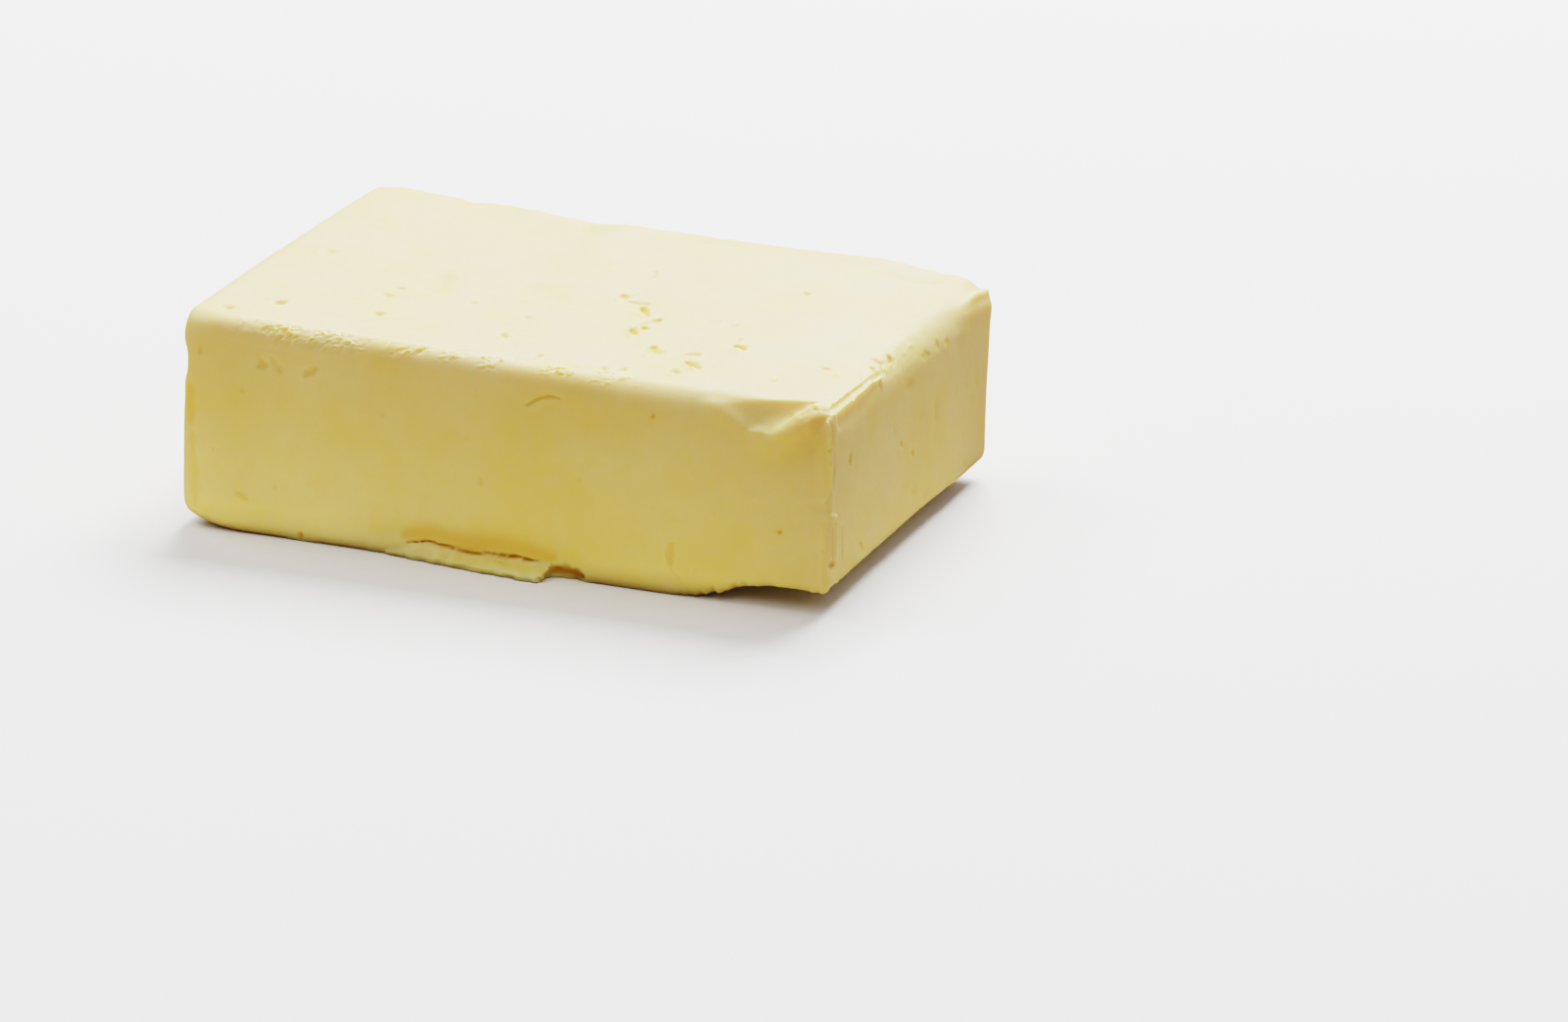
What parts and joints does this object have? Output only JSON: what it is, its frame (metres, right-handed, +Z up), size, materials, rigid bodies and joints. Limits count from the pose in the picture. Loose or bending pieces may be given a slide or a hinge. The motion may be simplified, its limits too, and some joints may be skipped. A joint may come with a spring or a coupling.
{
  "type": "block of butter",
  "caption": "Soft-edged rectangular block of butter with a tucked fold mark at a corner, a torn lip at the front foot and a slightly raised end.",
  "frame": {"origin": "bottom centre of the block's bounding box, on the surface it stands on", "axes": "+X along the length towards the end with the fold mark, +Y from the front face with the torn lip to the back face, +Z up"},
  "size_m": [0.1002, 0.074, 0.0337],
  "materials": {
    "butter": "soft waxy satin, slightly translucent, pale yellow"
  },
  "bodies": {
    "root": {"butter_block": "butter"}
  },
  "joints": []
}
